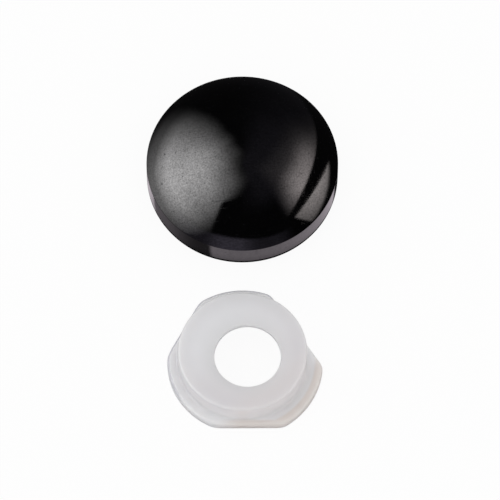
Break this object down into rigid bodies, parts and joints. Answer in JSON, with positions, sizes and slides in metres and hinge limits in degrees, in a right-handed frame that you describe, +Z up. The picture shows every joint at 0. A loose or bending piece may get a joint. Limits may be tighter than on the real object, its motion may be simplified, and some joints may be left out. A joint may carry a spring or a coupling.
{
  "type": "screw cover cap",
  "caption": "Domed snap cap in glossy black plastic beside the milky lobed washer that it snaps over to hide a screw head",
  "frame": {"origin": "on the ground, in the middle of the area that the cap and the washer cover together", "axes": "+Z up; +Y from the washer towards the cap; +X to the right when seen from the washer's side"},
  "size_m": [0.018, 0.035, 0.0079],
  "materials": {
    "black_plastic": "moulded gloss black, with fine handling scratches",
    "milky_plastic": "undyed, milky and translucent, satin"
  },
  "bodies": {
    "root": {"dome_cap": "black_plastic", "retaining_washer": "milky_plastic"}
  },
  "joints": []
}
